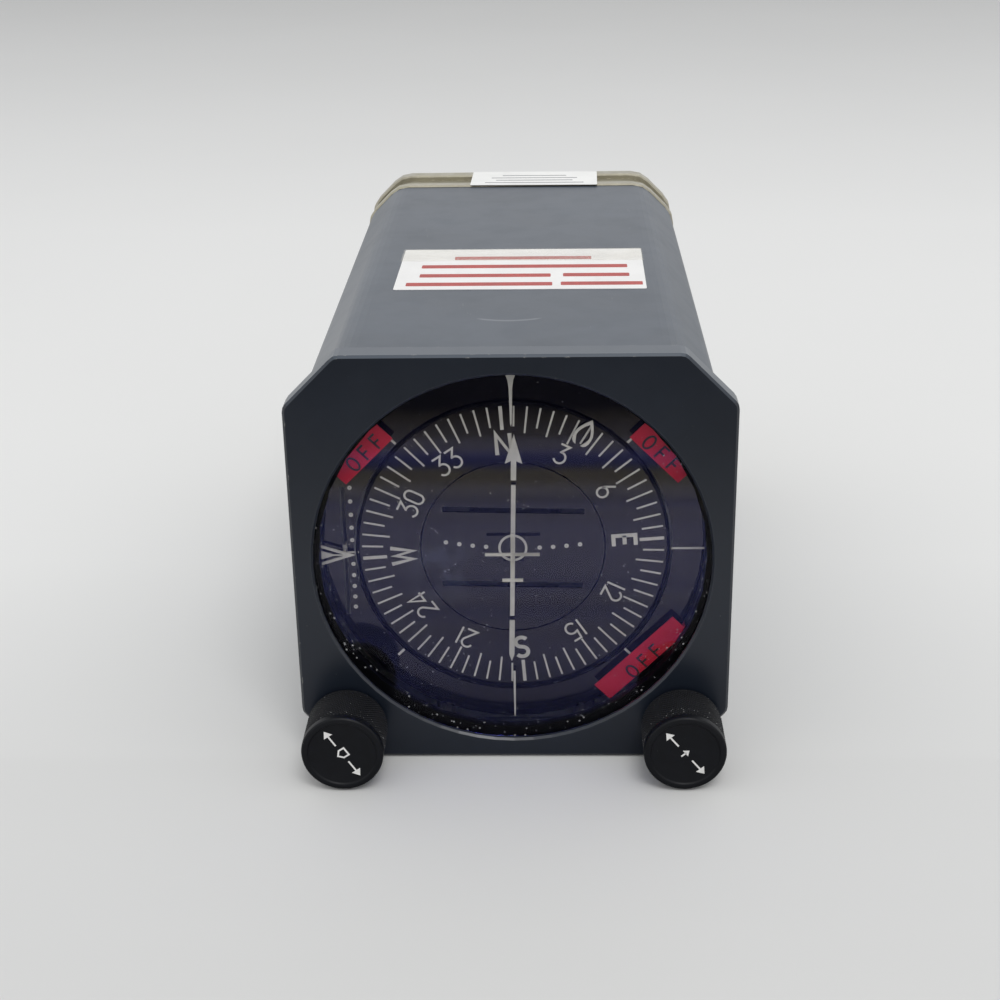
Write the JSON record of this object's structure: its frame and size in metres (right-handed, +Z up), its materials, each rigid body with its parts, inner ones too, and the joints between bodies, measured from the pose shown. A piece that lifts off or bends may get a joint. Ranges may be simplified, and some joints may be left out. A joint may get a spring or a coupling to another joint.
{
  "type": "aircraft course indicator",
  "caption": "Square panel instrument with a turning compass card, course arrow, sliding deviation bar, heading bug, warning flags and two setting knobs.",
  "frame": {"origin": "on the surface that the instrument stands on, below the middle of its box", "axes": "+Y from the glass to the rear connectors, +X to the right as seen by the reader of the dial, +Z up"},
  "size_m": [0.1064, 0.2246, 0.1064],
  "materials": {
    "slate_paint": "dark slate enamel, semi-gloss, worn at the edges",
    "case_paint": "slate grey enamel, semi-gloss",
    "dial_black": "matte black",
    "mark_paint": "matte cream-grey",
    "flag_red": "matte red",
    "knob_black": "black anodised, satin",
    "rubber": "matte",
    "clear_glass": "polished, coated against reflections",
    "aluminium": "machined",
    "steel": "ground",
    "brass": "machined",
    "chromate": "gold chromate conversion coating",
    "board_green": "lacquered board",
    "movement_black": "satin black"
  },
  "bodies": {
    "frame": {"front_bezel": "slate_paint", "glass_gasket": "rubber", "cover_glass": "clear_glass", "glass_retaining_ring": "movement_black", "aircraft_symbol": "mark_paint", "upper_lubber_line": "mark_paint", "lower_lubber_line": "mark_paint", "dial_mask": "dial_black", "glideslope_guide": "steel", "glideslope_movement": "movement_black", "glideslope_flag_movement": "movement_black", "navigation_flag_movement": "movement_black", "heading_flag_movement": "movement_black", "heading_knob_bushing": "brass", "course_knob_bushing": "brass", "servo_motor": "movement_black", "compass_synchro": "steel", "front_plate": "aluminium", "middle_plate": "aluminium", "drum_bearing": "steel", "gear_plate": "aluminium", "rear_plate": "aluminium", "frame_post_1": "steel", "frame_post_2": "steel", "frame_post_3": "steel", "frame_post_4": "steel", "heading_differential": "aluminium", "course_differential": "aluminium", "circuit_board": "board_green", "instrument_case": "case_paint", "case_gasket": "rubber", "rear_cap": "chromate", "left_connector_shell": "steel", "left_connector_insert": "movement_black", "right_connector_shell": "steel", "right_connector_insert": "movement_black"},
    "card": {"compass_card": "dial_black", "card_drum": "aluminium", "card_gear": "brass"},
    "bug": {"heading_bug": "mark_paint", "bug_drum": "movement_black"},
    "course": {"course_disc": "dial_black", "course_arrow_head": "mark_paint", "course_arrow_tail": "mark_paint", "course_frame": "aluminium", "deviation_movement": "movement_black"},
    "deviation": {"deviation_bar": "mark_paint", "deviation_slider": "movement_black"},
    "glideslope": {"glideslope_pointer": "mark_paint"},
    "glideslope_warning": {"glideslope_flag": "flag_red"},
    "navigation_warning": {"navigation_flag": "flag_red"},
    "heading_warning": {"heading_flag": "flag_red"},
    "heading_setting": {"heading_knob": "knob_black", "heading_knob_shaft": "steel"},
    "course_setting": {"course_knob": "knob_black", "course_knob_shaft": "steel"},
    "heading_input": {"heading_input_gear": "brass"},
    "course_input": {"course_input_gear": "brass"},
    "servo_drive": {"servo_pinion": "steel"},
    "synchro_drive": {"synchro_pinion": "steel"}
  },
  "joints": [
    {"name": "card_turn", "type": "hinge", "parent": "frame", "child": "card", "pos_m": [0, 0, 0.0532], "axis": [0, 1, 0], "continuous": true},
    {"name": "bug_turn", "type": "hinge", "parent": "card", "child": "bug", "pos_m": [0, 0, 0.0532], "axis": [0, 1, 0], "continuous": true},
    {"name": "course_turn", "type": "hinge", "parent": "card", "child": "course", "pos_m": [0, 0, 0.0532], "axis": [0, 1, 0], "continuous": true},
    {"name": "deviation_slide", "type": "slide", "parent": "course", "child": "deviation", "axis": [0.9998, 0, -0.0209], "range_m": [-0.0165, 0.0165], "stiffness_N_per_m": 20},
    {"name": "glideslope_slide", "type": "slide", "parent": "frame", "child": "glideslope", "axis": [0, 0, 1], "range_m": [-0.0165, 0.0165], "stiffness_N_per_m": 20},
    {"name": "glideslope_flag_slide", "type": "slide", "parent": "frame", "child": "glideslope_warning", "axis": [0, 0, 1], "range_m": [0, 0.0098], "stiffness_N_per_m": 15, "springref_m": -0.002},
    {"name": "navigation_flag_slide", "type": "slide", "parent": "frame", "child": "navigation_warning", "axis": [0, 0, 1], "range_m": [0, 0.0098], "stiffness_N_per_m": 15, "springref_m": -0.002},
    {"name": "heading_flag_slide", "type": "slide", "parent": "frame", "child": "heading_warning", "axis": [0.2588, 0, -0.9659], "range_m": [0, 0.0094], "stiffness_N_per_m": 15, "springref_m": -0.002},
    {"name": "heading_knob_turn", "type": "hinge", "parent": "frame", "child": "heading_setting", "pos_m": [-0.0416, 0, 0.0102], "axis": [0, 1, 0], "continuous": true},
    {"name": "course_knob_turn", "type": "hinge", "parent": "frame", "child": "course_setting", "pos_m": [0.0416, 0, 0.0102], "axis": [0, 1, 0], "continuous": true},
    {"name": "heading_input_turn", "type": "hinge", "parent": "frame", "child": "heading_input", "pos_m": [-0.03013, 0, 0.02206], "axis": [0, 1, 0], "continuous": true},
    {"name": "course_input_turn", "type": "hinge", "parent": "frame", "child": "course_input", "pos_m": [0.03013, 0, 0.02206], "axis": [0, 1, 0], "continuous": true},
    {"name": "servo_turn", "type": "hinge", "parent": "frame", "child": "servo_drive", "pos_m": [0.01838, 0, 0.07158], "axis": [0, 1, 0], "continuous": true},
    {"name": "synchro_turn", "type": "hinge", "parent": "frame", "child": "synchro_drive", "pos_m": [-0.01838, 0, 0.07158], "axis": [0, 1, 0], "continuous": true}
  ],
  "couplings": [
    {"joint": "heading_knob_turn", "follows": "bug_turn", "ratio": 4.5},
    {"joint": "heading_input_turn", "follows": "bug_turn", "ratio": -1},
    {"joint": "course_knob_turn", "follows": "course_turn", "ratio": 4.5},
    {"joint": "course_input_turn", "follows": "course_turn", "ratio": -1},
    {"joint": "servo_turn", "follows": "card_turn", "ratio": -3.3333},
    {"joint": "synchro_turn", "follows": "card_turn", "ratio": -3.3333}
  ]
}
